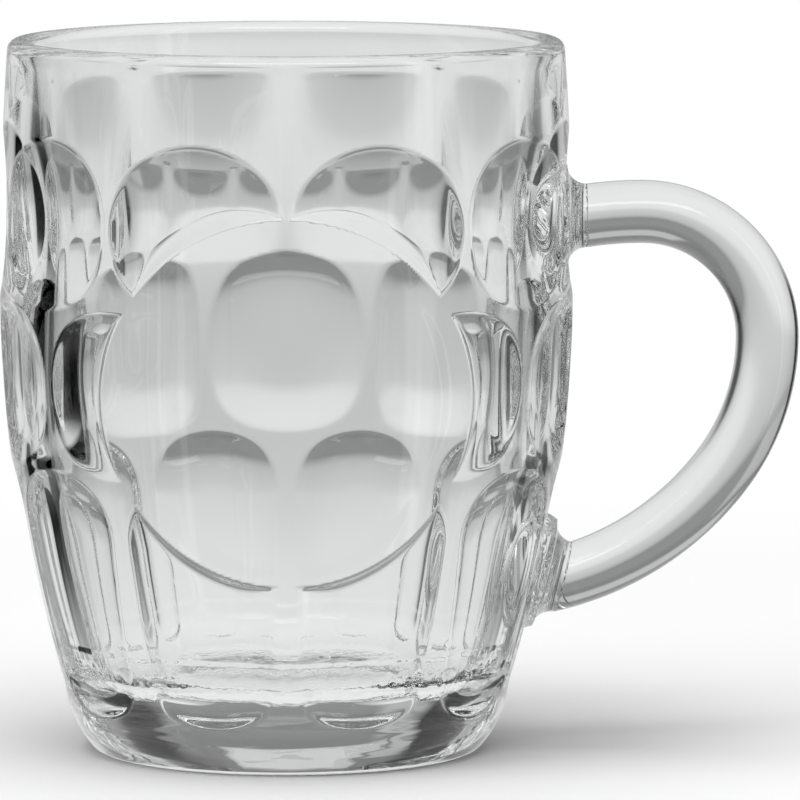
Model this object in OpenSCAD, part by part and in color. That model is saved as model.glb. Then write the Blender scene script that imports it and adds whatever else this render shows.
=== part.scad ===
// Glass beer mug with rows of pressed dimples, long flutes under them, a plain round boss on the front and a
// separate looped handle.
// One frame for every piece: +Z up, the mug's axis on Z, the foot's rim on Z = 0, the handle towards +X and the
// boss towards -Y. Millimetres.

/* [Body] */
// height of the middle of the rounded lip, which gives the mug its height of 125
rim_z = 123.04; // [120:0.02:126]
// largest outer radius, at the belly
belly_r = 50.2; // [49:0.1:51.5]
// height of the belly above the foot
belly_z = 80.6; // [78:0.2:83]
// radius of the side's long curve above the belly
upper_curve_r = 616; // [560:2:680]
// radius of the side's curve below the belly
lower_curve_r = 230; // [224:1:240]
// radius of the rounded heel at the foot
heel_r = 4; // [3.4:0.1:4.6]
// how far inside the belly the ring that the mug stands on has its inner edge
foot_ring_inset = 24.2; // [23.5:0.1:25]
// how far the underside is hollowed in the middle
foot_hollow = 1.5; // [1:0.1:2]

/* [Cavity] */
// thickness from the belly to the cavity's narrowest part
wall = 7.8; // [7.4:0.1:8.2]
// height of that narrowest part
cavity_waist_z = 70; // [68:0.5:72]
// radius of the cavity's curve above it
cavity_upper_r = 582; // [560:2:600]
// radius of the cavity's curve below it
cavity_lower_r = 167; // [162:1:172]
// height of the cavity's floor, so the thickness of the base with the hollow
floor_z = 13; // [12:0.5:14]
// radius of the corner between the floor and the wall
floor_corner_r = 8; // [7:0.5:9]

/* [Pattern] */
// angle between two neighbouring dimples on the front and the back
pitch = 37.5; // [37:0.1:38]
// middle of the upper row of dimples
upper_z = 94.9; // [94.5:0.1:95.3]
// half the width of an upper dimple
upper_half_w = 15.4; // [15:0.1:15.5]
// half the height of an upper dimple
upper_half_h = 14.5; // [14:0.1:14.6]
// depth of an upper dimple
upper_depth = 3.6; // [3.3:0.1:3.8]
// half the width of the upper dimple over each side
side_half_w = 11.6; // [11:0.1:12]
// depth of the upper dimple over each side
side_depth = 2.4; // [2.2:0.1:2.6]
// middle of the second row of dimples
second_z = 66.45; // [66.2:0.05:66.7]
// half the width of a dimple of the second row
second_half_w = 14; // [13.6:0.1:14.4]
// half the height of a dimple of the second row
second_half_h = 14.15; // [13.9:0.05:14.3]
// depth of a dimple of the second row
second_depth = 3.3; // [3:0.1:3.6]
// angle from the front to the outer dimples of the second row
second_outer_angle = 73.1; // [72.6:0.1:73.4]
// bottom end of a flute
flute_low_z = 8; // [7.5:0.1:8.5]
// top end of a flute
flute_high_z = 53.2; // [52.8:0.1:53.6]
// depth of a flute's floor at its bottom end
flute_low_depth = 1.1; // [0.9:0.1:1.3]
// depth of a flute's floor at its top end
flute_high_depth = 2; // [1.8:0.1:2.2]
// depth of the flute over each side at its bottom end
side_flute_low_depth = 0.7; // [0.5:0.1:0.9]
// depth of the flute over each side at its top end
side_flute_high_depth = 1.2; // [1:0.1:1.4]
// radius across a flute's hollow
flute_hollow_r = 100; // [90:2:110]
// radius of a flute's arched top end
flute_top_r = 14; // [13:0.5:15]
// radius of a flute's bottom end
flute_low_r = 6; // [5:0.5:7]
// length of the arched top end
flute_top_run = 8; // [7:0.5:9]
// length of the bottom end
flute_low_run = 4.6; // [4.2:0.1:5]

/* [Boss] */
// radius of the plain round boss on the front
boss_r = 31.8; // [31:0.1:32.4]
// height of its middle
boss_z = 65.9; // [65.5:0.1:66.3]

/* [Handle] */
// thickness of the handle's rod
rod_thick = 11; // [10.4:0.1:11.6]
// width of the rod across the mug
rod_wide = 14.5; // [13.5:0.1:15.5]
// radius of the rod's middle line in the upper bend
bend_r = 22; // [21:0.5:23]
// radius of the middle line in the outer bend below it
long_bend_r = 39.4; // [38.5:0.1:40.5]
// radius of the middle line in the last, flattest bend
low_bend_r = 52; // [50:0.5:54]
// how far the rod's middle line stands out beyond the belly
rod_stand = 34.2; // [33.3:0.1:35.3]
// height of the point where the rod stands out furthest
reach_z = 72.5; // [71.5:0.1:73.5]
// radius of the middle line in the upper arm, which droops a little to the mug
arm_bend_r = 70; // [60:1:90]
// how far the upper joint's face stands out beyond the belly
upper_joint_stand = 2.4; // [2:0.1:2.8]
// how far the middle of the lower joint's face lies inside the belly
lower_joint_inset = 1.6; // [1.2:0.1:2]
// lean of the lower joint's face, along the wall
lower_joint_lean = 14; // [13:0.5:15]
// radius of the hollow fillet around each joint
joint_fillet_r = 3.4; // [3.2:0.1:3.6]

/* [Hidden] */
$fn = 96;
overrun = 1;
right_angle = 90;
long_curve_fn = 4 * $fn;

foot_ring_in_r = belly_r - foot_ring_inset;
cavity_waist_r = belly_r - wall;
reach = belly_r + rod_stand;
upper_joint_x = belly_r + upper_joint_stand;
lower_joint_x = belly_r - lower_joint_inset;

function outer_r(z) =
    z > belly_z
    ? belly_r - upper_curve_r + sqrt(pow(upper_curve_r, 2) - pow(z - belly_z, 2))
    : belly_r - lower_curve_r + sqrt(pow(lower_curve_r, 2) - pow(z - belly_z, 2));
function outer_curve_r(z) = z > belly_z ? upper_curve_r : lower_curve_r;
function outer_lean(z) = asin((belly_z - z) / outer_curve_r(z));
function cavity_upper_r_at(z) =
    cavity_waist_r + cavity_upper_r - sqrt(pow(cavity_upper_r, 2) - pow(z - cavity_waist_z, 2));
function bow_r(half_chord, rise) = (pow(half_chord, 2) + pow(rise, 2)) / 2 / rise;
function bow_rise(half_chord, r) = r - sqrt(pow(r, 2) - pow(half_chord, 2));

lip_out_r = outer_r(rim_z);
lip_in_r = cavity_upper_r_at(rim_z);
lip_r = (lip_out_r - lip_in_r) / 2;
lip_mid_r = (lip_out_r + lip_in_r) / 2;
profile_w = 2 * belly_r;

lower_curve_x = belly_r - lower_curve_r;
upper_curve_x = belly_r - upper_curve_r;
heel_reach = lower_curve_r - heel_r;
heel_mid_r = lower_curve_x + sqrt(pow(heel_reach, 2) - pow(belly_z - heel_r, 2));
heel_turn = asin((belly_z - heel_r) / heel_reach);
heel_top_z = heel_r - heel_r * sin(heel_turn);
heel_top_r = heel_mid_r + heel_r * cos(heel_turn);
foot_ball_r = bow_r(foot_ring_in_r, foot_hollow);

cavity_lower_x = cavity_waist_r - cavity_lower_r;
cavity_upper_x = cavity_waist_r + cavity_upper_r;
corner_reach = cavity_lower_r - floor_corner_r;
corner_mid_z = floor_z + floor_corner_r;
corner_mid_r = cavity_lower_x + sqrt(pow(corner_reach, 2) - pow(cavity_waist_z - corner_mid_z, 2));
corner_turn = asin((cavity_waist_z - corner_mid_z) / corner_reach);
corner_top_z = corner_mid_z - floor_corner_r * sin(corner_turn);
corner_top_r = corner_mid_r + floor_corner_r * cos(corner_turn);

front_angle = -right_angle;
back_angle = right_angle;
handle_angle = 0;
far_angle = 2 * right_angle;
flute_sweep = 10;
half_pitch = pitch / 2;
outer_pitch = pitch + half_pitch;

rod_r = rod_thick / 2;
rod_flat = rod_wide - rod_thick;
bend_x = reach - bend_r;
arm_bend_z = reach_z + bend_r - arm_bend_r;
arm_turn = asin((bend_x - upper_joint_x) / arm_bend_r);
arm_spare = asin(2 * rod_r / arm_bend_r);
upper_joint_z = arm_bend_z + arm_bend_r * cos(arm_turn);
long_bend_run_share = 0.8;
long_bend_rise_share = 0.6;
long_bend_angle = asin(long_bend_rise_share);
long_bend_x = reach - long_bend_r;
low_bend_x = long_bend_x - (low_bend_r - long_bend_r) * long_bend_run_share;
low_bend_z = reach_z + (low_bend_r - long_bend_r) * long_bend_rise_share;
root_turn = acos((lower_joint_x - low_bend_x) / low_bend_r);
lower_joint_z = low_bend_z - low_bend_r * sin(root_turn);
low_bend_spare = asin(2 * rod_r / low_bend_r);
root_skew = right_angle - root_turn + lower_joint_lean;
upper_stub_r = rod_r / cos(arm_turn);
lower_stub_r = rod_r / cos(root_skew);
lower_stub_flat = rod_wide - 2 * lower_stub_r;
upper_stub_run = upper_joint_x - cavity_waist_r - lip_r;
lower_stub_run = rod_r + overrun;
joint_slab = 2 * rod_wide;

module long_curve(r, mid_x, low_z, high_z) {
    // the part of a long curve between two heights, filled to the axis
    intersection() {
        translate([mid_x, 0]) circle(r, $fn = long_curve_fn);
        translate([0, low_z]) square([profile_w, high_z - low_z]);
    }
}

module rounded_foot(mid_r, mid_z, r, low_z, top_r, top_z) {
    // the flat end of a profile with its rounded corner
    translate([mid_r, mid_z]) circle(r);
    polygon([[0, low_z], [mid_r, low_z], [top_r, top_z], [0, top_z]]);
}

module outer_profile() {
    translate([0, belly_z]) long_curve(upper_curve_r, upper_curve_x, 0, rim_z - belly_z);
    translate([0, belly_z]) long_curve(lower_curve_r, lower_curve_x, heel_top_z - belly_z, 0);
    rounded_foot(heel_mid_r, heel_r, heel_r, 0, heel_top_r, heel_top_z);
}

module cavity_profile() {
    difference() {
        translate([0, cavity_waist_z]) square([cavity_upper_x, rim_z + overrun - cavity_waist_z]);
        translate([cavity_upper_x, cavity_waist_z]) circle(cavity_upper_r, $fn = long_curve_fn);
    }
    translate([0, cavity_waist_z])
        long_curve(cavity_lower_r, cavity_lower_x, corner_top_z - cavity_waist_z, 0);
    rounded_foot(corner_mid_r, corner_mid_z, floor_corner_r, floor_z, corner_top_r, corner_top_z);
}

module plain_wall() {
    // the vessel before its pattern is pressed
    rotate_extrude() {
        difference() {
            outer_profile();
            cavity_profile();
        }
        translate([lip_mid_r, rim_z]) circle(lip_r);
    }
}

module foot_hollow_room() {
    translate([0, 0, foot_hollow - foot_ball_r]) sphere(foot_ball_r, $fn = long_curve_fn);
}

module boss_room() {
    // where the front keeps its plain surface
    translate([0, 0, boss_z]) rotate([right_angle, 0, 0]) cylinder(profile_w, boss_r, boss_r);
}

module cutter(angle, r, z, lean, hollow_r, sweep) {
    // turns a profile into the near part of a ring that dips into the wall at r and z
    rotate([0, 0, angle])
        translate([r, 0, z])
        rotate([0, lean, 0])
        translate([hollow_r, 0, 0])
        rotate([0, 0, 2 * right_angle - sweep])
        rotate_extrude(angle = 2 * sweep)
        children();
}

module dish(angle, z, half_w, half_h, depth) {
    // room for one dimple
    hollow_r = bow_r(half_w, depth - bow_rise(half_w, outer_r(z)));
    dome_r = bow_r(half_h, depth - bow_rise(half_h, outer_curve_r(z)));
    lean = outer_lean(z);
    sweep = asin((half_w + overrun) / hollow_r);
    cutter(angle, outer_r(z) - depth * cos(lean), z + depth * sin(lean), lean, hollow_r, sweep)
        intersection() {
            translate([hollow_r - dome_r, 0]) circle(dome_r);
            translate([hollow_r - 2 * depth, -dome_r]) square([2 * depth, 2 * dome_r]);
        }
}

module flute(angle, low_depth, high_depth) {
    // room for one long flute with an arched top and a rounded bottom
    low_r = outer_r(flute_low_z) - low_depth;
    high_r = outer_r(flute_high_z) - high_depth;
    rise = flute_high_z - flute_low_z;
    lean = atan((high_r - low_r) / rise);
    half_run = rise / cos(lean) / 2;
    low_end = flute_low_run - half_run;
    high_end = half_run - flute_top_run;
    cutter(angle, (low_r + high_r) / 2, (flute_low_z + flute_high_z) / 2, lean, flute_hollow_r, flute_sweep)
        intersection() {
            union() {
                translate([flute_hollow_r - flute_low_r, low_end])
                    square([flute_low_r, high_end - low_end]);
                translate([flute_hollow_r - flute_top_r, high_end]) circle(flute_top_r);
                translate([flute_hollow_r - flute_low_r, low_end]) circle(flute_low_r);
            }
            translate([flute_hollow_r - flute_low_r, -rise]) square([flute_low_r, 2 * rise]);
        }
}

module upper_dish(angle) {
    dish(angle, upper_z, upper_half_w, upper_half_h, upper_depth);
}

module second_dish(angle) {
    dish(angle, second_z, second_half_w, second_half_h, second_depth);
}

module long_flute(angle) {
    flute(angle, flute_low_depth, flute_high_depth);
}

module side_dish(angle) {
    dish(angle, upper_z, side_half_w, upper_half_h, side_depth);
}

module side_flute(angle) {
    flute(angle, side_flute_low_depth, side_flute_high_depth);
}

module beside_boss() {
    // what a cutter next to the boss still takes away
    difference() {
        children();
        boss_room();
    }
}

module stub_profile(end_r, run) {
    difference() {
        translate([0, -run]) square([end_r + joint_fillet_r, run]);
        translate([end_r + joint_fillet_r, 0]) circle(joint_fillet_r);
    }
}

module stub(end_r, end_flat, run) {
    // a short root for the handle that flares into the wall, with its end face on Z = 0
    for (side = [-1, 1])
        translate([0, side * end_flat / 2, 0]) rotate_extrude() stub_profile(end_r, run);
    translate([0, end_flat / 2, 0]) rotate([right_angle, 0, 0]) linear_extrude(end_flat) {
        stub_profile(end_r, run);
        mirror([1, 0]) stub_profile(end_r, run);
    }
}

module rod_section(mid_r) {
    translate([mid_r, 0]) {
        square([rod_thick, rod_flat], center = true);
        for (side = [-1, 1])
            translate([0, side * rod_flat / 2]) circle(rod_r);
    }
}

module bend(mid_x, mid_z, mid_r, start, turn) {
    // one bend of the rod, in the plane of the handle
    translate([mid_x, 0, mid_z])
        rotate([right_angle, 0, 0])
        rotate([0, 0, start])
        rotate_extrude(angle = turn)
        rod_section(mid_r);
}

module joint_cut(x, z, lean) {
    // everything behind a joint's flat face
    translate([x, 0, z])
        rotate([0, right_angle + lean, 0])
        translate([-joint_slab / 2, -joint_slab / 2, -joint_slab])
        cube(joint_slab);
}

module mug_body() {
    color("lightcyan", 0.5) {
        difference() {
            plain_wall();
            foot_hollow_room();
            upper_dish(back_angle - half_pitch);
            upper_dish(back_angle + half_pitch);
            upper_dish(back_angle - outer_pitch);
            upper_dish(back_angle + outer_pitch);
            upper_dish(front_angle - outer_pitch);
            upper_dish(front_angle + outer_pitch);
            side_dish(handle_angle);
            side_dish(far_angle);
            second_dish(back_angle);
            second_dish(back_angle - pitch);
            second_dish(back_angle + pitch);
            second_dish(back_angle - second_outer_angle);
            second_dish(back_angle + second_outer_angle);
            second_dish(front_angle - second_outer_angle);
            second_dish(front_angle + second_outer_angle);
            long_flute(back_angle - half_pitch);
            long_flute(back_angle + half_pitch);
            long_flute(back_angle - outer_pitch);
            long_flute(back_angle + outer_pitch);
            long_flute(front_angle - outer_pitch);
            long_flute(front_angle + outer_pitch);
            side_flute(handle_angle);
            side_flute(far_angle);
            beside_boss() upper_dish(front_angle - half_pitch);
            beside_boss() upper_dish(front_angle + half_pitch);
            beside_boss() second_dish(front_angle - pitch);
            beside_boss() second_dish(front_angle + pitch);
            beside_boss() long_flute(front_angle - half_pitch);
            beside_boss() long_flute(front_angle + half_pitch);
        }
        translate([upper_joint_x, 0, upper_joint_z])
            rotate([0, right_angle, 0])
            stub(upper_stub_r, rod_flat, upper_stub_run);
        translate([lower_joint_x, 0, lower_joint_z])
            rotate([0, right_angle + lower_joint_lean, 0])
            stub(lower_stub_r, lower_stub_flat, lower_stub_run);
    }
}

module handle() {
    color("lightblue", 0.5)
    difference() {
        union() {
            bend(bend_x, arm_bend_z, arm_bend_r, right_angle, arm_turn + arm_spare);
            bend(bend_x, reach_z, bend_r, 0, right_angle);
            bend(long_bend_x, reach_z, long_bend_r, 0, -long_bend_angle);
            bend(low_bend_x, low_bend_z, low_bend_r, -long_bend_angle,
                long_bend_angle - root_turn - low_bend_spare);
        }
        joint_cut(upper_joint_x, upper_joint_z, 0);
        joint_cut(lower_joint_x, lower_joint_z, lower_joint_lean);
    }
}

mug_body();
handle();
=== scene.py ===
"""Dimpled glass beer mug: the pressed vessel with its stubs, and the looped handle fused to them.

Lengths inside the classes are millimetres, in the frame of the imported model: +Z up, the mug's axis on Z,
the foot's rim on Z = 0, the handle towards +X and the boss towards -Y.
"""

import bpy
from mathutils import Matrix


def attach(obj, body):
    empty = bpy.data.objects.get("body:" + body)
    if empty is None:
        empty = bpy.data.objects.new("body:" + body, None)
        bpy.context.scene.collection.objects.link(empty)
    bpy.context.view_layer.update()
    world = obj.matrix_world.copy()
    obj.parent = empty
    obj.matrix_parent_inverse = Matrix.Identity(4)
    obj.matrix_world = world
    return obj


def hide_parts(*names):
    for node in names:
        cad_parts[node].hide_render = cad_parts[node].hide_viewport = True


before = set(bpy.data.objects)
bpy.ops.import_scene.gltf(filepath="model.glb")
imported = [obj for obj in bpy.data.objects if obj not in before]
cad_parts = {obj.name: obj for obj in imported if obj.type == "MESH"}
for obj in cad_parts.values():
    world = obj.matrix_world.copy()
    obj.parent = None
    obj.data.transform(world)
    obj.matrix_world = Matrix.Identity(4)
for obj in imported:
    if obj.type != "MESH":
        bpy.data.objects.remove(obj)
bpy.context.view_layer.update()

import logging
import math
from dataclasses import dataclass
from enum import Enum
from typing import Callable

import bpy
import numpy as np
from bpy.types import Material, Mesh, NodeSocket, NodeTree, Object
from mathutils import Vector

Array = np.ndarray
Pair = tuple[Array, Array]
Ends = tuple[float, float]
Triple = tuple[float, float, float]
Stops = tuple[tuple[float, float], ...]

LOG = logging.getLogger("beer_mug")
MM = 0.001
FULL_TURN = 2 * math.pi
QUARTER = math.pi / 2
FAR_OFF = 1000.0
MERGE_M = 2e-6
CUT_M = 1e-6
SEAM_MM = 0.01
SEAM_ALIGN = 0.999
WHITE = "#FFFFFF"
PHOTO_PIXELS = 800
SENSOR_MM = 36.0


class Piece(Enum):
    """The visual pieces: the CAD node that each stands for, and the name of a material slot, which the
    script does not use.
    """

    BODY = ("mug_body", "body_glass")
    HANDLE = ("handle", "handle_glass")


class Facing(Enum):
    """Directions round the mug's axis, in degrees from +X."""

    HANDLE = 0.0
    BACK = 90.0
    FAR = 180.0
    FRONT = 270.0


def soft_min(a: Array, b: Array, reach: float) -> Array:
    """Smaller of two fields, with the crossing rounded over a small reach.

    Args:
        a: First field.
        b: Second field.
        reach: Difference, in the fields' unit, below which the two blend.

    Returns:
        The rounded minimum, equal to the plain one away from the crossing.
    """
    mix = np.clip(0.5 + 0.5 * (b - a) / reach, 0.0, 1.0)
    return b + (a - b) * mix - reach * mix * (1.0 - mix)


def soft_max(a: Array, b: Array, reach: float) -> Array:
    """Larger of two fields, rounded as soft_min is."""
    return -soft_min(-a, -b, reach)


def bow_radius(half_chord: float, rise: float) -> float:
    """Radius of the arc with this half chord and rise."""
    return (half_chord ** 2 + rise ** 2) / (2.0 * rise)


def bow_rise(half_chord: float, radius: float) -> float:
    """Rise of an arc of this radius over this half chord."""
    return radius - math.sqrt(radius ** 2 - half_chord ** 2)


def wrap(angle: Array) -> Array:
    """Angles in radians brought between minus pi and pi."""
    return (angle + math.pi) % FULL_TURN - math.pi


def oval_radius(turn: Array, half_high: float, half_wide: float, power: float) -> Array:
    """Radius of a soft oval.

    Args:
        turn: Angles from its upward axis, in radians.
        half_high: Half its height.
        half_wide: Half its width.
        power: 2 for an ellipse, more for a squarer oval.

    Returns:
        The radii at those angles.
    """
    wide = np.abs(np.sin(turn)) / half_wide
    high = np.abs(np.cos(turn)) / half_high
    return (wide ** power + high ** power) ** (-1.0 / power)


@dataclass
class Wall:
    """The plain turned vessel before its pattern is pressed.

    Its heel is the photo's wide bevel over a small toe, where the solids have a plain 4 mm round.
    """

    rim_z: float = 123.04
    belly_r: float = 50.2
    belly_z: float = 80.6
    upper_curve_r: float = 616.0
    lower_curve_r: float = 230.0
    heel_r: float = 20.0
    heel_top_z: float = 7.5
    toe_turn: float = math.radians(41.0)
    foot_ring_in_r: float = 26.0
    foot_hollow: float = 1.5
    cavity_waist_r: float = 42.4
    cavity_waist_z: float = 70.0
    cavity_upper_r: float = 582.0
    cavity_lower_r: float = 167.0
    floor_z: float = 13.0
    floor_corner_r: float = 8.0
    table_step: float = 0.02

    def __post_init__(self) -> None:
        """Walk the closed profile once, from the middle of the underside to the middle of the floor."""
        low, high = self.lower_curve_r, self.upper_curve_r
        waist_r, waist_z = self.cavity_waist_r, self.cavity_waist_z
        in_low, in_high = self.cavity_lower_r, self.cavity_upper_r
        lip_out = float(self.outer(np.array(self.rim_z)))
        lip_in = waist_r + bow_rise(self.rim_z - waist_z, in_high)
        heel_reach = low - self.heel_r
        heel_turn = math.asin((self.belly_z - self.heel_top_z) / low)
        heel_mid_r = self.belly_r - low + heel_reach * math.cos(heel_turn)
        heel_mid_z = self.belly_z - heel_reach * math.sin(heel_turn)
        toe_r = (heel_mid_z - self.heel_r * math.sin(self.toe_turn)) / (1.0 - math.sin(self.toe_turn))
        toe_mid_r = heel_mid_r + (self.heel_r - toe_r) * math.cos(self.toe_turn)
        corner_reach = in_low - self.floor_corner_r
        corner_mid_z = self.floor_z + self.floor_corner_r
        corner_turn = math.asin((waist_z - corner_mid_z) / corner_reach)
        corner_mid_r = waist_r - in_low + corner_reach * math.cos(corner_turn)
        dome_r = bow_radius(self.foot_ring_in_r, self.foot_hollow)
        dome_turn = math.asin(self.foot_ring_in_r / dome_r)
        waist_turn = math.asin((self.rim_z - waist_z) / in_high)
        upper_turn = math.asin((self.rim_z - self.belly_z) / high)
        pieces = {
            "hollow": self.arc(0.0, self.foot_hollow - dome_r, dome_r, QUARTER, QUARTER - dome_turn),
            "ring": self.line(self.foot_ring_in_r, 0.0, toe_mid_r, 0.0),
            "toe": self.arc(toe_mid_r, toe_r, toe_r, -QUARTER, -self.toe_turn),
            "heel": self.arc(heel_mid_r, heel_mid_z, self.heel_r, -self.toe_turn, -heel_turn),
            "lower": self.arc(self.belly_r - low, self.belly_z, low, -heel_turn, 0.0),
            "upper": self.arc(self.belly_r - high, self.belly_z, high, 0.0, upper_turn),
            "lip": self.arc((lip_out + lip_in) / 2, self.rim_z, (lip_out - lip_in) / 2, 0.0, math.pi),
            "cavity_upper": self.arc(waist_r + in_high, waist_z, in_high, math.pi - waist_turn, math.pi),
            "cavity_lower": self.arc(waist_r - in_low, waist_z, in_low, 0.0, -corner_turn),
            "corner": self.arc(corner_mid_r, corner_mid_z, self.floor_corner_r, -corner_turn, -QUARTER),
            "floor": self.line(corner_mid_r, self.floor_z, 0.0, self.floor_z),
        }
        self.runs: dict[str, Ends] = {}
        along, start = [], 0.0
        for name, (r, z) in pieces.items():
            steps = np.concatenate([[0.0], np.cumsum(np.hypot(np.diff(r), np.diff(z)))])
            along.append(start + steps)
            self.runs[name] = (start, start + float(steps[-1]))
            start = self.runs[name][1]
        self.length = start
        self.along = np.concatenate(along)
        self.radii, self.heights = (np.concatenate(rows) for rows in zip(*pieces.values()))

    def arc(self, mid_r: float, mid_z: float, r: float, start: float, end: float) -> Pair:
        """Points of an arc in the profile's plane.

        Args:
            mid_r: Distance of the arc's centre from the axis.
            mid_z: Height of the centre.
            r: Radius of the arc.
            start: Angle at which it starts, in radians.
            end: Angle at which it ends.

        Returns:
            The radii and the heights of the points.
        """
        count = max(2, int(abs(end - start) * r / self.table_step) + 1)
        turn = np.linspace(start, end, count)
        return mid_r + r * np.cos(turn), mid_z + r * np.sin(turn)

    def line(self, r0: float, z0: float, r1: float, z1: float) -> Pair:
        """Points of a straight stretch, as arc gives them."""
        count = max(2, int(math.hypot(r1 - r0, z1 - z0) / self.table_step) + 1)
        return np.linspace(r0, r1, count), np.linspace(z0, z1, count)

    def outer(self, z: Array) -> Array:
        """Outer radius of the plain wall at a height."""
        curve = np.where(z > self.belly_z, self.upper_curve_r, self.lower_curve_r)
        return self.belly_r - curve + np.sqrt(curve ** 2 - (z - self.belly_z) ** 2)

    def at(self, along: Array) -> Pair:
        """Radius and height of the profile at a distance along it."""
        return np.interp(along, self.along, self.radii), np.interp(along, self.along, self.heights)

    def on_side(self, along: Array) -> Array:
        """Which distances along the profile lie on the patterned side."""
        return (along > self.runs["lower"][0]) & (along < self.runs["upper"][1])


@dataclass
class Dent:
    """One pressed hollow of the pattern, told by its depth below the plain wall.

    A pair holds a value for the low end and one for the high end: the heights, half the width in degrees,
    the depth, the length of the rounded end, and the form, which is 2 for an even bowl and more for a
    flatter middle with steeper sides. square is 0 for a round outline, towards 1 for one with small corners.
    """

    facing: float
    span: Ends
    turns: Ends
    depths: Ends
    rounds: Ends
    square: float
    hollows: Ends
    spare: float = 0.12
    outside: float = -1.0

    def depth_at(self, theta: Array, z: Array) -> Array:
        """Depth of the hollow, or a negative number outside it.

        Args:
            theta: Directions, in radians.
            z: Heights.

        Returns:
            Depths that cross zero at the hollow's edge.
        """
        low_z, high_z = self.span
        share = np.clip((z - low_z) / (high_z - low_z), 0.0, 1.0)
        half_turn, depth, hollow = (low + (high - low) * share
                                    for low, high in (self.turns, self.depths, self.hollows))
        u = (wrap(theta - math.radians(self.facing)) / np.radians(half_turn)) ** 2
        over = np.maximum(z - (high_z - self.rounds[1]), 0.0) / self.rounds[1]
        under = np.maximum(low_z + self.rounds[0] - z, 0.0) / self.rounds[0]
        v = np.maximum(over, under) ** 2
        near = (u < (1.0 + self.spare) ** 2) & (v < (1.0 + self.spare) ** 2)
        spread = np.maximum(u + v - self.square * u * v, 0.0)
        return np.where(near, depth * (1.0 - spread ** (hollow / 2)), self.outside)


@dataclass
class Pattern:
    """Rows of dimples over long flutes, as placed on the wall."""

    wall: Wall
    pitch: float = 37.5
    upper_z: float = 94.9
    upper_turn: float = 17.5
    upper_half_h: float = 14.5
    upper_back_half_h: float = 15.2
    upper_depth: float = 3.6
    upper_outer_depth: float = 2.9
    boss_side_turn: float = 18.4
    boss_side_square: float = 0.1
    side_turn: float = 13.4
    side_depth: float = 2.4
    second_z: float = 66.45
    second_turn: float = 16.2
    second_back_turn: float = 16.9
    second_middle_turn: float = 18.9
    middle_square: float = 0.4
    second_half_h: float = 14.15
    second_depth: float = 2.3
    second_outer_angle: float = 73.1
    flute_span: Ends = (8.6, 52.2)
    flute_turns: Ends = (14.8, 17.2)
    flute_depths: Ends = (1.5, 2.6)
    flute_rounds: Ends = (6.0, 12.0)
    side_flute_share: float = 0.6
    side_flute_turn_share: float = 0.86
    flute_square: float = 0.2
    round_square: float = 0.3
    panel_square: float = 0.97
    second_square: float = 0.8
    upper_hollows: Ends = (2.0, 2.0)
    second_hollows: Ends = (2.0, 4.6)
    flute_hollows: Ends = (3.0, 3.0)
    edge_reach: float = 0.28

    def __post_init__(self) -> None:
        """Place every hollow."""
        half, outer = self.pitch / 2, 1.5 * self.pitch
        self.dents: list[Dent] = []
        for facing in (Facing.BACK.value, Facing.FRONT.value):
            back = facing == Facing.BACK.value
            half_h = self.upper_back_half_h if back else self.upper_half_h
            square = self.panel_square if back else self.round_square
            for turn in (-outer, -half, half, outer):
                beside_boss = not back and abs(turn) < self.pitch
                width = self.boss_side_turn if beside_boss else self.upper_turn
                depth = self.upper_outer_depth if back and abs(turn) > self.pitch else self.upper_depth
                corner = self.boss_side_square if beside_boss else square
                self.dimple(facing + turn, self.upper_z, width, half_h, depth, corner, self.upper_hollows)
                self.flute(facing + turn, 1.0, 1.0)
            square = self.second_square if back else self.round_square
            width = self.second_back_turn if back else self.second_turn
            for turn in (-self.second_outer_angle, -self.pitch, self.pitch, self.second_outer_angle):
                self.second(facing + turn, width if abs(turn) == self.pitch else self.second_turn, square)
        self.second(Facing.BACK.value, self.second_middle_turn, self.middle_square)
        for facing in (Facing.HANDLE.value, Facing.FAR.value):
            self.dimple(facing, self.upper_z, self.side_turn, self.upper_half_h, self.side_depth,
                        self.round_square, self.upper_hollows)
            self.flute(facing, self.side_flute_share, self.side_flute_turn_share)

    def second(self, facing: float, turn: float, square: float) -> None:
        """Place one dimple of the second row."""
        self.dimple(facing, self.second_z, turn, self.second_half_h, self.second_depth, square,
                    self.second_hollows)

    def dimple(self, facing: float, z: float, turn: float, half_h: float, depth: float, square: float,
               hollows: Ends) -> None:
        """Place one dimple.

        Args:
            facing: Direction from the axis, in degrees.
            z: Height of its middle.
            turn: Half its width, in degrees round the axis.
            half_h: Half its height.
            depth: Its depth in the middle.
            square: Its outline, as Dent has it.
            hollows: Its form at both ends, as Dent has it.
        """
        self.dents.append(Dent(facing, (z - half_h, z + half_h), (turn, turn), (depth, depth),
                               (half_h, half_h), square, hollows))

    def flute(self, facing: float, share: float, turn_share: float) -> None:
        """Place one long flute with an arched top and a rounded bottom.

        Args:
            facing: Direction from the axis, in degrees.
            share: Its depth, as a share of a full flute's.
            turn_share: Its width, as a share of a full flute's.
        """
        low_turn, high_turn = self.flute_turns
        low_depth, high_depth = self.flute_depths
        self.dents.append(Dent(facing, self.flute_span, (low_turn * turn_share, high_turn * turn_share),
                               (low_depth * share, high_depth * share), self.flute_rounds,
                               self.flute_square, self.flute_hollows))

    def depth(self, theta: Array, z: Array) -> Array:
        """Depth of the pressed pattern below the plain wall.

        Args:
            theta: Directions, in radians.
            z: Heights.

        Returns:
            The depths, zero on the lands between the hollows.
        """
        plain = self.wall.outer(z)
        radius = plain.copy()
        for dent in self.dents:
            radius = soft_min(radius, plain - dent.depth_at(theta, z), self.edge_reach)
        return plain - radius


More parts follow.
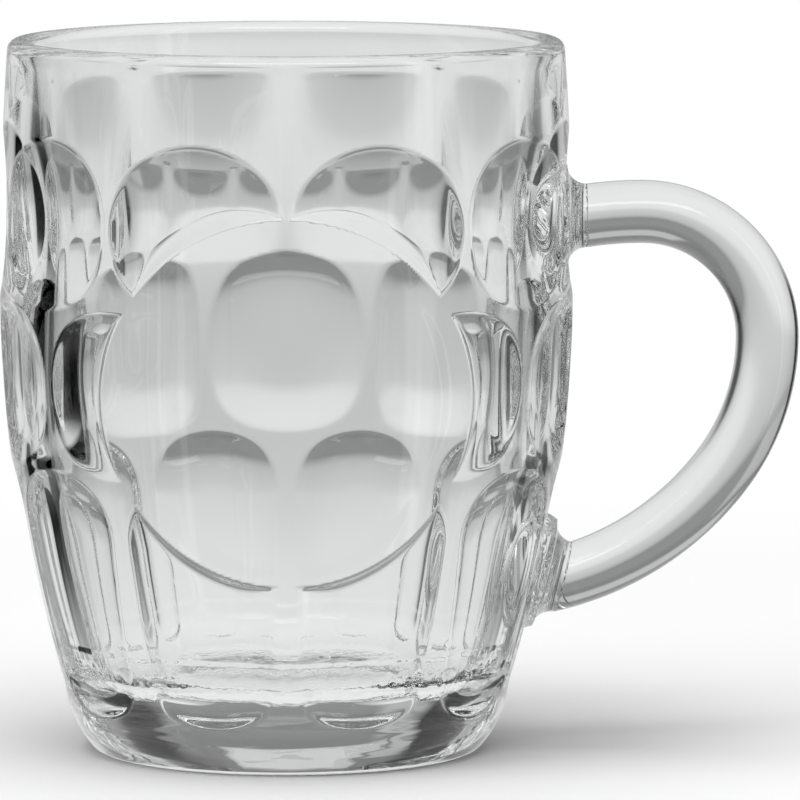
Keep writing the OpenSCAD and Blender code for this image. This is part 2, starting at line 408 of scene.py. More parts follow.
@dataclass
class Boss:
    """The plain round pad on the front, where the wall keeps its own curve."""

    radius: float = 31.8
    z: float = 65.9
    side_slope: float = 1.25
    low_slope: float = 1.6
    edge_round: float = 0.3
    foot_power: float = 6.0
    least: float = 1e-7

    def off_edge(self, theta: Array, r: Array, z: Array) -> Array:
        """Distance outside the boss's edge, seen along Y, or a large number on the back."""
        off = np.hypot(r * np.cos(theta), z - self.z) - self.radius
        return np.where(np.sin(theta) < 0.0, off, FAR_OFF)

    def kept(self, depth: Array, theta: Array, r: Array, z: Array) -> Array:
        """Depth of the pattern where the boss's drafted side rises through it.

        Args:
            depth: Depth of the pattern without the boss.
            theta: Directions, in radians.
            r: Plain radii of the wall.
            z: Heights.

        Returns:
            The depth with the boss standing in it.
        """
        off = self.off_edge(theta, r, z)
        down = np.clip((self.z - z) / self.radius, 0.0, 1.0)
        slope = self.side_slope + (self.low_slope - self.side_slope) * down ** 2
        curl = np.clip(off + self.edge_round, 0.0, 2 * self.edge_round) ** 2 / (4 * self.edge_round)
        side = slope * np.where(off < self.edge_round, curl, off)
        p = self.foot_power
        return ((depth + self.least) ** -p + (side + self.least) ** -p) ** (-1.0 / p)


@dataclass
class Joint:
    """A short root for the handle: its end face, its oval and the hollow fillet round it."""

    x: float
    z: float
    lean: float
    half_high: float
    half_wide: float
    fillet_r: float = 3.4
    oval_power: float = 2.2
    face_margin: float = 1.3
    fall: float = 3.0
    blend: float = 0.8
    half_side: float = math.pi / 4

    def __post_init__(self) -> None:
        """Set the face's middle and its own axes."""
        self.origin = np.array([self.x, 0.0, self.z])
        self.normal = np.array([math.cos(self.lean), 0.0, -math.sin(self.lean)])
        self.up = np.array([math.sin(self.lean), 0.0, math.cos(self.lean)])

    def oval(self, turn: Array) -> Array:
        """Radius of the oval at an angle from its upward axis."""
        return oval_radius(turn, self.half_high, self.half_wide, self.oval_power)

    def same_side(self, theta: Array) -> Array:
        """Which directions are on the joint's side of the mug."""
        return np.abs(wrap(theta)) < self.half_side

    def flat(self, theta: Array, z: Array, wall: Wall) -> Pair:
        """Distances of the plain wall's points across the mug and up the face."""
        r = wall.outer(z)
        return r * np.sin(theta), (r * np.cos(theta) - self.x) * self.up[0] + (z - self.z) * self.up[2]

    def off_oval(self, across: Array, up: Array) -> Array:
        """Distance outside the oval, along the ray from its middle."""
        return np.hypot(across, up) - self.oval(np.arctan2(across, up))


JOINTS = {
    "upper": Joint(x=52.6, z=93.81, lean=0.0, half_high=5.55, half_wide=7.25),
    "lower": Joint(x=48.6, z=29.89, lean=math.radians(14.0), half_high=6.3, half_wide=7.25),
}


@dataclass
class MugBody:
    """The pressed vessel with its pattern, boss and stubs, as one closed skin of glass.

    Each band is the middle and half the width of the strip by an edge where the grid is fine.
    """

    wall: Wall
    pattern: Pattern
    boss: Boss
    joints: dict[str, Joint]
    cell: float = 1.88
    cavity_cell: float = 2.6
    fine_split: int = 3
    refine_reach: tuple[float, ...] = (2.0, 1.0)
    bend_step: float = 0.5
    least_bend: float = 0.02
    boss_band: tuple[float, float] = (1.0, 2.6)
    joint_band: tuple[float, float] = (1.0, 1.5)
    joint_spare: float = 5.0
    solve_rounds: int = 4
    normal_step: float = 0.06
    pole_r: float = 0.3
    least_r: float = 0.5
    least_length: float = 1e-9
    chart: tuple[str, str] = ("chart_turn", "chart_along")

    def pressed_point(self, theta: Array, z: Array) -> Array:
        """Points of the patterned outer wall, without the stubs.

        Args:
            theta: Directions, in radians.
            z: Heights.

        Returns:
            The points, one row each.
        """
        plain = self.wall.outer(z)
        radius = plain - self.boss.kept(self.pattern.depth(theta, z), theta, plain, z)
        return np.stack([radius * np.cos(theta), radius * np.sin(theta), z], axis=-1)

    def with_joint(self, theta: Array, z: Array, points: Array, joint: Joint) -> Array:
        """Raise one stub out of the wall.

        Args:
            theta: Directions, in radians.
            z: Heights.
            points: Points of the patterned wall.
            joint: The stub's sizes.

        Returns:
            The points with the stub.
        """
        reach = joint.fillet_r
        across, up = joint.flat(theta, z, self.wall)
        off = joint.off_oval(across, up)
        near = (off < reach + self.joint_spare) & joint.same_side(theta)
        if not near.any():
            return points
        across, up, off = across[near], up[near], off[near]
        turn = np.arctan2(across, up)
        edge = joint.oval(turn)
        margin = joint.face_margin
        sweep = QUARTER * np.clip((off + margin) / (reach + margin), 0.0, 1.0)
        inside = off < -margin
        face = (edge + off) * edge / (edge - margin)
        on_fillet = edge + reach - reach * np.cos(sweep)
        spread = np.where(inside, face, np.where(off < reach, on_fillet, edge + off))
        height = np.where(inside, 0.0, -reach * np.sin(sweep))
        height = height - joint.fall * np.maximum(off - reach, 0.0)
        across, up = spread * np.sin(turn), spread * np.cos(turn)
        # find the place on the wall that lies under each point of the flare
        new_z = joint.z + up * joint.up[2]
        new_theta = np.zeros_like(new_z)
        for _ in range(self.solve_rounds):
            r = self.wall.outer(new_z)
            new_theta = np.arcsin(across / r)
            new_z = joint.z + (up - (r * np.cos(new_theta) - joint.x) * joint.up[0]) / joint.up[2]
        wall_point = self.pressed_point(new_theta, new_z)
        rel = wall_point - joint.origin
        wall_height, wall_up, wall_across = rel @ joint.normal, rel @ joint.up, wall_point[:, 1]
        top = soft_max(wall_height, height, joint.blend)
        top = np.where(inside, 0.0, np.minimum(top, 0.0))
        # slide the points sideways from the wall's own grid to the flare's where it stands out
        lead = np.clip(0.5 + (height - wall_height) / joint.blend, 0.0, 1.0)
        lead = lead * lead * (3.0 - 2.0 * lead)
        side = wall_across + (across - wall_across) * lead
        rise = wall_up + (up - wall_up) * lead
        out = points.copy()
        out[near] = joint.origin + top[:, None] * joint.normal + rise[:, None] * joint.up
        out[near, 1] = side
        return out

    def surface(self, theta: Array, along: Array) -> Array:
        """Points of the whole skin.

        Args:
            theta: Directions, in radians.
            along: Distances along the closed profile.

        Returns:
            The points, one row each.
        """
        r, z = self.wall.at(along)
        points = np.stack([r * np.cos(theta), r * np.sin(theta), z], axis=-1)
        outer = self.wall.on_side(along)
        if outer.any():
            t, height = theta[outer], z[outer]
            pressed = self.pressed_point(t, height)
            for joint in self.joints.values():
                pressed = self.with_joint(t, height, pressed, joint)
            points[outer] = pressed
        return points

    def rows(self) -> Array:
        """Place the grid's rows, closer together on the tight rounds.

        Returns:
            The rows' distances along the profile.
        """
        marks = [np.array([0.0])]
        for name, (start, end) in self.wall.runs.items():
            cell = self.cell
            if name in ("cavity_upper", "cavity_lower", "floor", "hollow", "ring"):
                cell = self.cavity_cell
            if name in ("lip", "toe", "heel", "corner"):
                cell = self.cell / self.fine_split
            count = max(2, round((end - start) / cell))
            marks.append(np.linspace(start, end, count + 1)[1:])
        return np.concatenate(marks)

    def creased(self, theta: Array, along: Array) -> Array:
        """Which places of the chart lie at a crease of the skin.

        Args:
            theta: Directions, in radians.
            along: Distances along the profile.

        Returns:
            True at the edges of the pattern, the boss and the stubs.
        """
        outer = self.wall.on_side(along)
        t = theta[outer]
        _, z = self.wall.at(along[outer])
        plain = self.wall.outer(z)
        at_edge = self.bend_of(t, z, self.bend_step / self.wall.belly_r, 0.0) > self.least_bend
        at_edge |= self.bend_of(t, z, 0.0, self.bend_step) > self.least_bend
        middle, half = self.boss_band
        by_boss = np.abs(self.boss.off_edge(t, plain, z) - middle) < half
        at_edge |= by_boss & (self.pattern.depth(t, z) > self.least_bend)
        middle, half = self.joint_band
        for joint in self.joints.values():
            gap = joint.off_oval(*joint.flat(t, z, self.wall))
            at_edge |= (np.abs(gap - middle) < joint.fillet_r + half) & joint.same_side(t)
        out = np.zeros(theta.shape, dtype=bool)
        out[outer] = at_edge
        return out

    def bend_of(self, theta: Array, z: Array, turn: float, rise: float) -> Array:
        """Change of the pattern's slope across a step of this turn and rise, in millimetres."""
        ends = self.pattern.depth(theta - turn, z - rise) + self.pattern.depth(theta + turn, z + rise)
        return np.abs(ends - 2 * self.pattern.depth(theta, z))

    def build(self) -> Object:
        """Make the mesh: a grid of the profile against the turn, refined at the creases and then shaped.

        Returns:
            The finished object, at the origin.
        """
        rows = self.rows()
        columns = round(FULL_TURN * self.wall.belly_r / self.cell)
        deselect_all()
        bpy.ops.mesh.primitive_grid_add(x_subdivisions=columns, y_subdivisions=len(rows) - 1, size=1.0)
        piece = bpy.context.object
        piece.name = piece.data.name = "mug_body_glass"
        mesh = piece.data
        flat = read(mesh.vertices, "co")
        flat[:, 0] = np.rint((flat[:, 0] + 0.5) * columns) / columns
        row = np.rint((flat[:, 1] + 0.5) * (len(rows) - 1)).astype(int)
        flat[:, 1] = rows[row] / self.wall.length
        write_points(mesh, flat)
        for reach in self.refine_reach:
            self.refine(piece, reach)
        chart = read(mesh.vertices, "co")
        theta = chart[:, 0] * FULL_TURN
        along = chart[:, 1] * self.wall.length
        for name, values in zip(self.chart, (theta, along)):
            layer = mesh.attributes.new(name, "FLOAT", "POINT")
            layer.data.foreach_set("value", values.astype(np.float32))
        write_points(mesh, self.surface(theta, along) * MM)
        edit(piece)
        bpy.ops.mesh.select_all(action="SELECT")
        bpy.ops.mesh.remove_doubles(threshold=MERGE_M)
        bpy.ops.mesh.normals_make_consistent(inside=False)
        bpy.ops.object.mode_set(mode="OBJECT")
        bpy.ops.object.shade_smooth()
        self.set_normals(mesh)
        return piece

    def refine(self, piece: Object, reach: float) -> None:
        """Subdivide the faces near creases once.

        Args:
            piece: The grid, still flat in the chart.
            reach: How far from a crease a face is still taken, in cells of the grid.
        """
        shift = self.cell * reach / 2
        around = [(side * shift / self.wall.belly_r, up * shift) for side in (-1, 0, 1) for up in (-1, 0, 1)]

        def wanted(centre: Array) -> Array:
            """Which faces have a crease at or round their centre."""
            theta, along = centre[:, 0] * FULL_TURN, centre[:, 1] * self.wall.length
            return np.any([self.creased(theta + turn, along + rise) for turn, rise in around], axis=0)

        select_faces(piece, wanted)
        bpy.ops.mesh.subdivide(number_cuts=1, smoothness=0.0)
        bpy.ops.object.mode_set(mode="OBJECT")

    def set_normals(self, mesh: Mesh) -> None:
        """Give each vertex the exact normal of the surface it lies on.

        Args:
            mesh: The merged mesh, with its chart kept as attributes.
        """
        theta, along = (read(mesh.attributes[name].data, "value", 1)[:, 0] for name in self.chart)
        step = self.normal_step
        radius, _ = self.wall.at(along)
        turn = step / np.maximum(radius, self.least_r)
        low = np.clip(along - step, 0.0, self.wall.length)
        high = np.clip(along + step, 0.0, self.wall.length)
        sideways = self.surface(theta + turn, along) - self.surface(theta - turn, along)
        upwards = self.surface(theta, high) - self.surface(theta, low)
        normal = np.cross(sideways, upwards)
        pole = radius < self.pole_r
        normal[pole] = np.where(along[pole, None] < self.cell, (0.0, 0.0, -1.0), (0.0, 0.0, 1.0))
        length = np.linalg.norm(normal, axis=1)
        lost = length < self.least_length
        normal[lost] = read(mesh.vertices, "normal")[lost]
        normal /= np.linalg.norm(normal, axis=1)[:, None]
        mesh.normals_split_custom_set_from_vertices(normal.tolist())
        for name in self.chart:
            mesh.attributes.remove(mesh.attributes[name])


@dataclass
class HandleRod:
    """The looped rod of oval section, in four tangent bends between the two joints."""

    joints: dict[str, Joint]
    half_high: float = 5.5
    half_wide: float = 7.25
    bend_r: float = 22.0
    long_bend_r: float = 39.4
    low_bend_r: float = 52.0
    arm_bend_r: float = 70.0
    reach: float = 84.4
    reach_z: float = 72.5
    oval_power: float = 2.2
    ring_points: int = 64
    step: float = 1.2
    least_steps: int = 8
    spare: float = 12.0
    long_turn: float = math.atan2(3.0, 4.0)
    smooth_turn: float = math.radians(35.0)

    def bends(self) -> list[tuple[float, ...]]:
        """Centres and turns of the bends, from the lower end to the upper one.

        Returns:
            For each bend its centre's X and Z, its radius, and its start and end angle from +X, in radians.
        """
        long_x = self.reach - self.long_bend_r
        low_x = long_x - (self.low_bend_r - self.long_bend_r) * math.cos(self.long_turn)
        low_z = self.reach_z + (self.low_bend_r - self.long_bend_r) * math.sin(self.long_turn)
        bend_x = self.reach - self.bend_r
        arm_z = self.reach_z + self.bend_r - self.arm_bend_r
        low_end = math.acos((self.joints["lower"].x - low_x) / self.low_bend_r)
        arm_end = math.asin((bend_x - self.joints["upper"].x) / self.arm_bend_r)
        return [
            (low_x, low_z, self.low_bend_r, -low_end - self.spare / self.low_bend_r, -self.long_turn),
            (long_x, self.reach_z, self.long_bend_r, -self.long_turn, 0.0),
            (bend_x, self.reach_z, self.bend_r, 0.0, QUARTER),
            (bend_x, arm_z, self.arm_bend_r, QUARTER, QUARTER + arm_end + self.spare / self.arm_bend_r),
        ]

    def build(self) -> Object:
        """Spin an oval ring through the bends and cut both ends on their joints.

        Returns:
            The finished object, at the origin.
        """
        bends = self.bends()
        deselect_all()
        bpy.ops.mesh.primitive_circle_add(vertices=self.ring_points, radius=1.0, fill_type="NOTHING")
        piece = bpy.context.object
        piece.name = piece.data.name = "handle_glass"
        ring = read(piece.data.vertices, "co")
        turn = np.arctan2(ring[:, 1], ring[:, 0])
        oval = oval_radius(turn, self.half_high, self.half_wide, self.oval_power)
        x, z, radius, start, _ = bends[0]
        out = radius + oval * np.cos(turn)
        write_points(piece.data, MM * np.stack([x + out * math.cos(start), oval * np.sin(turn),
                                                z + out * math.sin(start)], axis=-1))
        edit(piece)
        bpy.ops.mesh.select_all(action="SELECT")
        for x, z, radius, start, end in bends:
            steps = max(self.least_steps, round((end - start) * radius / self.step))
            bpy.ops.mesh.spin(steps=steps, angle=end - start, center=(x * MM, 0.0, z * MM),
                              axis=(0.0, 1.0, 0.0))
        for joint in self.joints.values():
            select_faces(piece, lambda centre: np.abs(centre[:, 2] / MM - joint.z) < self.bend_r)
            bpy.ops.mesh.bisect(plane_co=tuple(joint.origin * MM), plane_no=tuple(joint.normal),
                                use_fill=True, clear_inner=True, threshold=CUT_M)
        bpy.ops.mesh.select_all(action="SELECT")
        bpy.ops.mesh.remove_doubles(threshold=MERGE_M)
        bpy.ops.mesh.normals_make_consistent(inside=False)
        bpy.ops.object.mode_set(mode="OBJECT")
        bpy.ops.object.shade_smooth_by_angle(angle=self.smooth_turn)
        return piece


def deselect_all() -> None:
    """Leave nothing selected, so that an operator acts on the new piece alone."""
    if bpy.context.mode != "OBJECT":
        bpy.ops.object.mode_set(mode="OBJECT")
    bpy.ops.object.select_all(action="DESELECT")


def edit(piece: Object) -> None:
    """Open one piece alone in edit mode.

    Args:
        piece: The mesh object.
    """
    deselect_all()
    bpy.context.view_layer.objects.active = piece
    piece.select_set(True)
    bpy.ops.object.mode_set(mode="EDIT")


def select_faces(piece: Object, wanted: Callable[[Array], Array]) -> None:
    """Select the faces of a piece by their places, and leave it open in edit mode.

    Args:
        piece: The mesh object.
        wanted: Takes the face centres, one row each, and says which are selected.
    """
    edit(piece)
    bpy.ops.mesh.select_mode(type="FACE")
    bpy.ops.mesh.select_all(action="DESELECT")
    bpy.ops.object.mode_set(mode="OBJECT")
    faces = piece.data.polygons
    faces.foreach_set("select", wanted(read(faces, "center")))
    edit(piece)


def read(rows: bpy.types.bpy_prop_collection, name: str, width: int = 3) -> Array:
    """Read one property of a mesh's vertices, faces or attribute.

    Args:
        rows: What holds the property.
        name: The property's name.
        width: How many numbers it has.

    Returns:
        The numbers, one row each.
    """
    values = np.empty(len(rows) * width)
    rows.foreach_get(name, values)
    return values.reshape(-1, width)


def write_points(mesh: Mesh, points: Array) -> None:
    """Set the coordinates of a mesh's vertices."""
    mesh.vertices.foreach_set("co", np.ascontiguousarray(points, dtype=np.float32).ravel())
    mesh.update()


def linear(hex_colour: str) -> tuple[float, float, float, float]:
    """Change a colour to the kind that the nodes take.

    Args:
        hex_colour: The sRGB colour as # and six digits.

    Returns:
        The linear RGBA colour, opaque.
    """
    channels = [int(hex_colour[i:i + 2], 16) / 255 for i in (1, 3, 5)]
    lit = [c / 12.92 if c <= 0.04045 else ((c + 0.055) / 1.055) ** 2.4 for c in channels]
    return (lit[0], lit[1], lit[2], 1.0)


def add_node(tree: NodeTree, kind: str, links: dict | None = None, **settings: str) -> bpy.types.Node:
    """Add one node with its settings and links.

    Args:
        tree: The node tree it goes into.
        kind: Blender's name for the node's type, after ShaderNode.
        links: For each input, by name or number, the socket that feeds it or the value it takes.
        **settings: Properties of the node itself.

    Returns:
        The new node.
    """
    node = tree.nodes.new("ShaderNode" + kind)
    for name, value in settings.items():
        setattr(node, name, value)
    for name, value in (links or {}).items():
        if isinstance(value, NodeSocket):
            tree.links.new(value, node.inputs[name])
        else:
            node.inputs[name].default_value = value
    return node


def calc(tree: NodeTree, operation: str, *values: NodeSocket | float) -> NodeSocket:
    """Result of one Math node on its inputs, in their order."""
    return add_node(tree, "Math", dict(enumerate(values)), operation=operation).outputs["Value"]


def blend(tree: NodeTree, share: NodeSocket, first: NodeSocket | float,
          second: NodeSocket | float) -> NodeSocket:
    """Value that goes from the first to the second as the share goes from 0 to 1."""
    return add_node(tree, "Mix", {"Factor": share, 2: first, 3: second}, data_type="FLOAT").outputs[0]


def new_material(name: str) -> tuple[Material, NodeTree]:
    """Start a node material.

    Args:
        name: Its name.

    Returns:
        The material and its tree, with no nodes yet.
    """
    material = bpy.data.materials.new(name)
    material.use_nodes = True
    material.node_tree.nodes.clear()
    return material, material.node_tree


@dataclass(frozen=True)
class Ripple:
    """A zone of the glass where the mould or the plunger left the skin uneven."""

    low_z: float
    high_z: float
    high_r: float
    fade: float
    cell: Triple
    height: float


@dataclass(frozen=True)
class ClearGlass:
    """Pressed soda-lime glass with a fire-polished skin.

    It is colourless and glossy, with slow waves in the walls, long ripples round the heel and short crinkles
    round the floor's corner that break the light up.
    """

    name: str = "soda_lime_glass_fire_polished"
    colour: str = "#FDFEFE"
    ior: float = 1.5
    wave_mm: float = 14.0
    wave_height_mm: float = 0.02
    wave_detail: float = 1.0
    ripple_detail: float = 1.5
    heel: Ripple = Ripple(low_z=0.0, high_z=9.0, high_r=100.0, fade=3.0, cell=(22.0, 22.0, 3.5), height=0.16)
    floor_corner: Ripple = Ripple(low_z=12.4, high_z=19.5, high_r=37.0, fade=1.2, cell=(2.2, 2.2, 9.0),
                                  height=0.22)

    def ripple(self, tree: NodeTree, place: NodeSocket, zone: Ripple) -> NodeSocket:
        """Make the height of one zone's ripples.

        Args:
            tree: The node tree.
            place: The socket with the point, in metres.
            zone: The zone and its ripples.

        Returns:
            The socket with the height in millimetres, zero outside the zone.
        """
        split = add_node(tree, "SeparateXYZ", {"Vector": place})
        flat = add_node(tree, "CombineXYZ", {"X": split.outputs["X"], "Y": split.outputs["Y"]})
        radius = add_node(tree, "VectorMath", {0: flat.outputs["Vector"]}, operation="LENGTH")
        share = zone.height
        limits = ((split.outputs["Z"], zone.low_z - zone.fade, zone.low_z),
                  (split.outputs["Z"], zone.high_z + zone.fade, zone.high_z),
                  (radius.outputs["Value"], zone.high_r + zone.fade, zone.high_r))
        for value, outside, inside in limits:
            ramp = add_node(tree, "MapRange", {"Value": value, "From Min": outside * MM,
                                               "From Max": inside * MM}, interpolation_type="SMOOTHSTEP")
            share = calc(tree, "MULTIPLY", share, ramp.outputs["Result"])
        stretched = add_node(tree, "VectorMath", {0: place, 1: [1 / (side * MM) for side in zone.cell]},
                             operation="MULTIPLY")
        noise = add_node(tree, "TexNoise", {"Vector": stretched.outputs["Vector"], "Scale": 1.0,
                                            "Detail": self.ripple_detail})
        return calc(tree, "MULTIPLY", share, noise.outputs["Fac"])

    def make(self) -> Material:
        """Build the node material.

        Returns:
            The material.
        """
        material, tree = new_material(self.name)
        place = add_node(tree, "TexCoord").outputs["Object"]
        wave = add_node(tree, "TexNoise", {"Vector": place, "Scale": 1.0 / (self.wave_mm * MM),
                                           "Detail": self.wave_detail})
        height = calc(tree, "MULTIPLY", wave.outputs["Fac"], self.wave_height_mm)
        for zone in (self.heel, self.floor_corner):
            height = calc(tree, "ADD", height, self.ripple(tree, place, zone))
        bump = add_node(tree, "Bump", {"Height": height, "Strength": 1.0, "Distance": MM})
        shader = add_node(tree, "BsdfPrincipled", {
            "Base Color": linear(self.colour), "Roughness": 0.0, "IOR": self.ior,
            "Transmission Weight": 1.0, "Normal": bump.outputs["Normal"]})
        add_node(tree, "OutputMaterial", {"Surface": shader.outputs["BSDF"]})
        return material


@dataclass(frozen=True)
class FusedSeam:
    """The seam where both pieces of glass have melted into one: light crosses it unbent."""

    name: str = "fused_glass_seam"

    def make(self) -> Material:
        """Build the node material.

        Returns:
            The material.
        """
        material, tree = new_material(self.name)
        clear = add_node(tree, "BsdfTransparent", {"Color": linear(WHITE)})
        add_node(tree, "OutputMaterial", {"Surface": clear.outputs["BSDF"]})
        return material


def dress(piece: Object, glass: Material, seam: Material, joints: dict[str, Joint]) -> None:
    """Give a piece its glass, and its end faces on the joints the fused seam.

    Args:
        piece: The finished mesh object.
        glass: The material of the skin.
        seam: The material of the faces that lie on a joint.
        joints: The joints' places.
    """
    mesh = piece.data
    mesh.materials.clear()
    mesh.materials.append(glass)
    mesh.materials.append(seam)
    centre, normal = read(mesh.polygons, "center") / MM, read(mesh.polygons, "normal")
    index = np.zeros(len(mesh.polygons), dtype=np.int32)
    for joint in joints.values():
        height = (centre - joint.origin) @ joint.normal
        facing = np.abs(normal @ joint.normal)
        index[(np.abs(height) < SEAM_MM) & (facing > SEAM_ALIGN)] = 1
    mesh.polygons.foreach_set("material_index", index)
    mesh.update()


@dataclass(frozen=True)
class SoftBox:
    """A lit rectangle of the room: its middle and its half sizes in degrees, and its light."""

    turn: float
    rise: float
    half_wide: float
    half_high: float
    light: float


@dataclass(frozen=True)
class Lamp:
    """A square lamp, in metres and watts."""

    name: str
    at: Triple
    size: float
    watts: float


@dataclass
class Studio:
    """Floor, world, lamps and camera."""

    camera_at: Triple = (0.0, -1350.0, 215.0)
    aim: Triple = (19.9, 0.0, 61.3)
    focal_px: float = 7735.0
    clip_m: float = 100.0
    sweep_by_height: Stops = (
        (-90, 0.85), (-30, 0.86), (-16, 0.84), (-10, 0.8), (-8.5, 0.76), (-6.5, 0.63), (-3, 0.56),
        (-1, 0.52), (0.5, 0.4), (2, 0.26), (9, 0.25), (12, 0.2), (30, 0.18), (42, 0.22),
        (50, 0.2), (70, 0.06), (90, 0.06))
    sweep_by_turn: Stops = (
        (-180, 0.0), (-36.5, 0.0), (-33, 0.75), (-20, 1.0), (20, 1.0), (28, 0.85), (32, 0.6),
        (35, 0.12), (46, 0.1), (50, 0.5), (70, 0.35), (90, 0.0), (180, 0.0))
    room_by_turn: Stops = (
        (-180, 0.3), (-135, 0.2), (-115, 0.05), (-88, 0.03), (-80, 0.0), (40, 0.0), (47, 0.03),
        (54, 0.15), (65, 0.25), (80, 0.4), (90, 0.5), (130, 0.45), (180, 0.3))
    softboxes: tuple[SoftBox, ...] = (
        SoftBox(180, 46, 34, 5, 3.0), SoftBox(122, 8, 2.5, 34, 1.2), SoftBox(-8, 20, 19, 3, 0.3),
        SoftBox(-26, 7, 8, 4, 0.2))
    box_edge: float = 2.5
    floor_light: float = 0.4
    light_bounces: int = 32
    spill_by_height: Stops = (
        (-90, 0.9), (-40, 0.85), (-27, 0.7), (-22, 0.35), (-18, 0.04), (-15, 0.0))
    floor_m: float = 6.0
    floor_colour: str = "#F4F4F4"
    floor_roughness: float = 0.7
    floor_fade_m: Ends = (0.08, 0.35)
    lamps: tuple[Lamp, ...] = (
        Lamp("top", (0.0, -0.2, 1.2), 1.2, 14.0), Lamp("left", (-1.2, -0.6, 0.7), 0.9, 6.0))
    lamp_aim: Triple = (0.0, 0.0, 0.06)

    def add_camera(self) -> None:
        """Place the camera where the photograph was taken from."""
        data = bpy.data.cameras.new("camera")
        data.sensor_width = SENSOR_MM
        data.lens = self.focal_px * SENSOR_MM / PHOTO_PIXELS
        data.clip_end = self.clip_m
        camera = bpy.data.objects.new("camera", data)
        bpy.context.scene.collection.objects.link(camera)
        camera.location = Vector(self.camera_at) * MM
        camera.rotation_mode = "QUATERNION"
        camera.rotation_quaternion = (Vector(self.aim) - Vector(self.camera_at)).to_track_quat("-Z", "Y")
        bpy.context.scene.camera = camera

    def steps(self, tree: NodeTree, angle: NodeSocket, reach: float, stops: Stops) -> NodeSocket:
        """Make light that changes with an angle, between listed stops.

        Args:
            tree: The node tree.
            angle: The socket with the angle, in radians.
            reach: Largest angle either way, in degrees.
            stops: Angles in degrees and the light there.

        Returns:
            The socket with the light.
        """
        place = add_node(tree, "MapRange", {"Value": angle, "From Min": -math.radians(reach),
                                            "From Max": math.radians(reach)})
        ramp = add_node(tree, "ValToRGB", {"Fac": place.outputs["Result"]})
        elements = ramp.color_ramp.elements
        elements.remove(elements[-1])
        elements[0].position = 0.0
        for degrees, _ in stops[1:]:
            elements.new((degrees + reach) / (2 * reach))
        for element, (_, light) in zip(elements, stops):
            element.color = (light, light, light, 1.0)
        return ramp.outputs["Color"]

    def lit_box(self, tree: NodeTree, turn: NodeSocket, rise: NodeSocket, box: SoftBox) -> NodeSocket:
        """Make the light of one soft-edged box.

        Args:
            tree: The node tree.
            turn: The socket with the direction round the mug, in radians from behind it.
            rise: The socket with the angle above the horizon.
            box: The box.

        Returns:
            The socket with its light.
        """
        light = box.light
        for angle, middle, half in ((turn, box.turn, box.half_wide), (rise, box.rise, box.half_high)):
            off = calc(tree, "SUBTRACT", angle, math.radians(middle))
            away = calc(tree, "ABSOLUTE", calc(tree, "WRAP", off, -math.pi, math.pi))
            inside = add_node(tree, "MapRange", {"Value": away, "From Max": math.radians(half),
                                                 "From Min": math.radians(half + self.box_edge)})
            light = calc(tree, "MULTIPLY", light, inside.outputs["Result"])
        return light

    def add_world(self) -> None:
        """Make the room: white to the camera, plain to the floor, and to the glass a graded studio.

        The glass sees a bright sweep behind the mug, a dark flag on each side of it, a softbox over the
        camera and smaller ones beside it.
        """
        world = bpy.data.worlds.new("studio")
        bpy.context.scene.world = world
        world.use_nodes = True
        tree = world.node_tree
        tree.nodes.clear()
        path = add_node(tree, "LightPath")
        split = add_node(tree, "SeparateXYZ", {"Vector": add_node(tree, "TexCoord").outputs["Generated"]})
        rise = calc(tree, "ARCSINE", split.outputs["Z"])
        turn = calc(tree, "ARCTAN2", split.outputs["X"], split.outputs["Y"])
        by_height = self.steps(tree, rise, 90.0, self.sweep_by_height)
        by_turn = self.steps(tree, turn, 180.0, self.sweep_by_turn)
        room = self.steps(tree, turn, 180.0, self.room_by_turn)
        spill = self.steps(tree, rise, 90.0, self.spill_by_height)
        total = calc(tree, "MULTIPLY_ADD", by_height, blend(tree, spill, by_turn, 1.0),
                     blend(tree, spill, room, 0.0))
        for box in self.softboxes:
            total = calc(tree, "ADD", total, self.lit_box(tree, turn, rise, box))
        to_glass = calc(tree, "MAXIMUM", path.outputs["Is Glossy Ray"], path.outputs["Is Transmission Ray"])
        unseen = blend(tree, to_glass, self.floor_light, total)
        strength = blend(tree, path.outputs["Is Camera Ray"], unseen, 1.0)
        background = add_node(tree, "Background", {"Color": linear(WHITE), "Strength": strength})
        add_node(tree, "OutputWorld", {"Surface": background.outputs["Background"]})

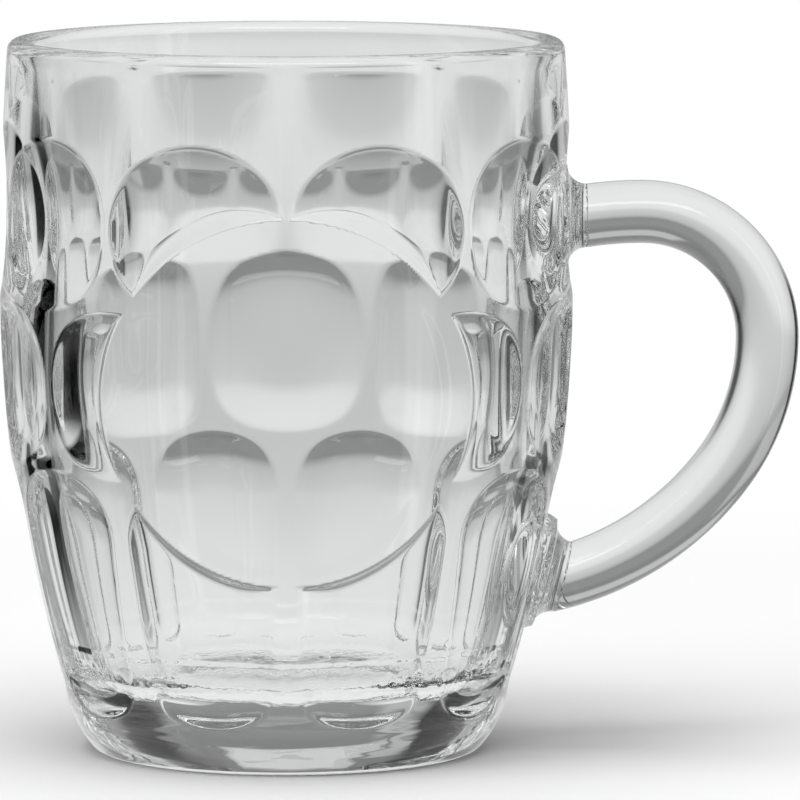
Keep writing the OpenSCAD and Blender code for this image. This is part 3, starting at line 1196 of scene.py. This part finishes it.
    def add_floor(self) -> None:
        """Lay a plain pale floor that takes the mug's shadow and runs out into white."""
        deselect_all()
        bpy.ops.mesh.primitive_plane_add(size=self.floor_m)
        floor = bpy.context.object
        floor.name = floor.data.name = "floor"
        material, tree = new_material("pale_studio_floor")
        path = add_node(tree, "LightPath")
        place = add_node(tree, "TexCoord").outputs["Object"]
        away = add_node(tree, "VectorMath", {0: place}, operation="LENGTH")
        start, end = self.floor_fade_m
        fade = add_node(tree, "MapRange", {"Value": away.outputs["Value"], "From Min": start,
                                           "From Max": end})
        pale = add_node(tree, "BsdfPrincipled", {"Base Color": linear(self.floor_colour),
                                                 "Roughness": self.floor_roughness})
        white = add_node(tree, "Emission", {"Strength": 1.0})
        seen = add_node(tree, "MixShader", {0: fade.outputs["Result"], 1: pale.outputs["BSDF"],
                                            2: white.outputs["Emission"]})
        unseen = add_node(tree, "BsdfTransparent", {"Color": linear(WHITE)})
        mixed = add_node(tree, "MixShader", {0: path.outputs["Is Camera Ray"], 1: unseen.outputs["BSDF"],
                                             2: seen.outputs["Shader"]})
        add_node(tree, "OutputMaterial", {"Surface": mixed.outputs["Shader"]})
        floor.data.materials.append(material)

    def add_lamps(self) -> None:
        """Hang the lamps, which light the floor and its shadow alone."""
        for lamp in self.lamps:
            data = bpy.data.lights.new(lamp.name, "AREA")
            data.size = lamp.size
            data.energy = lamp.watts
            hung = bpy.data.objects.new(lamp.name, data)
            bpy.context.scene.collection.objects.link(hung)
            hung.location = lamp.at
            hung.rotation_mode = "QUATERNION"
            hung.rotation_quaternion = (Vector(self.lamp_aim) - Vector(lamp.at)).to_track_quat("-Z", "Y")
            hung.visible_glossy = False
            hung.visible_transmission = False

    def build(self) -> None:
        """Set the whole studio up."""
        self.add_camera()
        self.add_world()
        self.add_floor()
        self.add_lamps()
        scene = bpy.context.scene
        scene.view_settings.view_transform = "Standard"
        scene.cycles.max_bounces = scene.cycles.transmission_bounces = self.light_bounces
        scene.cycles.glossy_bounces = scene.cycles.transparent_max_bounces = self.light_bounces


def main() -> None:
    """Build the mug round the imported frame."""
    logging.basicConfig(level=logging.INFO, format="%(name)s: %(message)s")
    Studio().build()
    wall = Wall()
    body = MugBody(wall, Pattern(wall), Boss(), JOINTS)
    handle = HandleRod(JOINTS)
    glass, seam = ClearGlass().make(), FusedSeam().make()
    for maker, (node, slot) in ((body, Piece.BODY.value), (handle, Piece.HANDLE.value)):
        piece = maker.build()
        dress(piece, glass, seam, JOINTS)
        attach(piece, "root")
        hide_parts(node)
        LOG.info("%s: %d vertices, %d faces", piece.name, len(piece.data.vertices), len(piece.data.polygons))


if __name__ == "__main__":
    main()
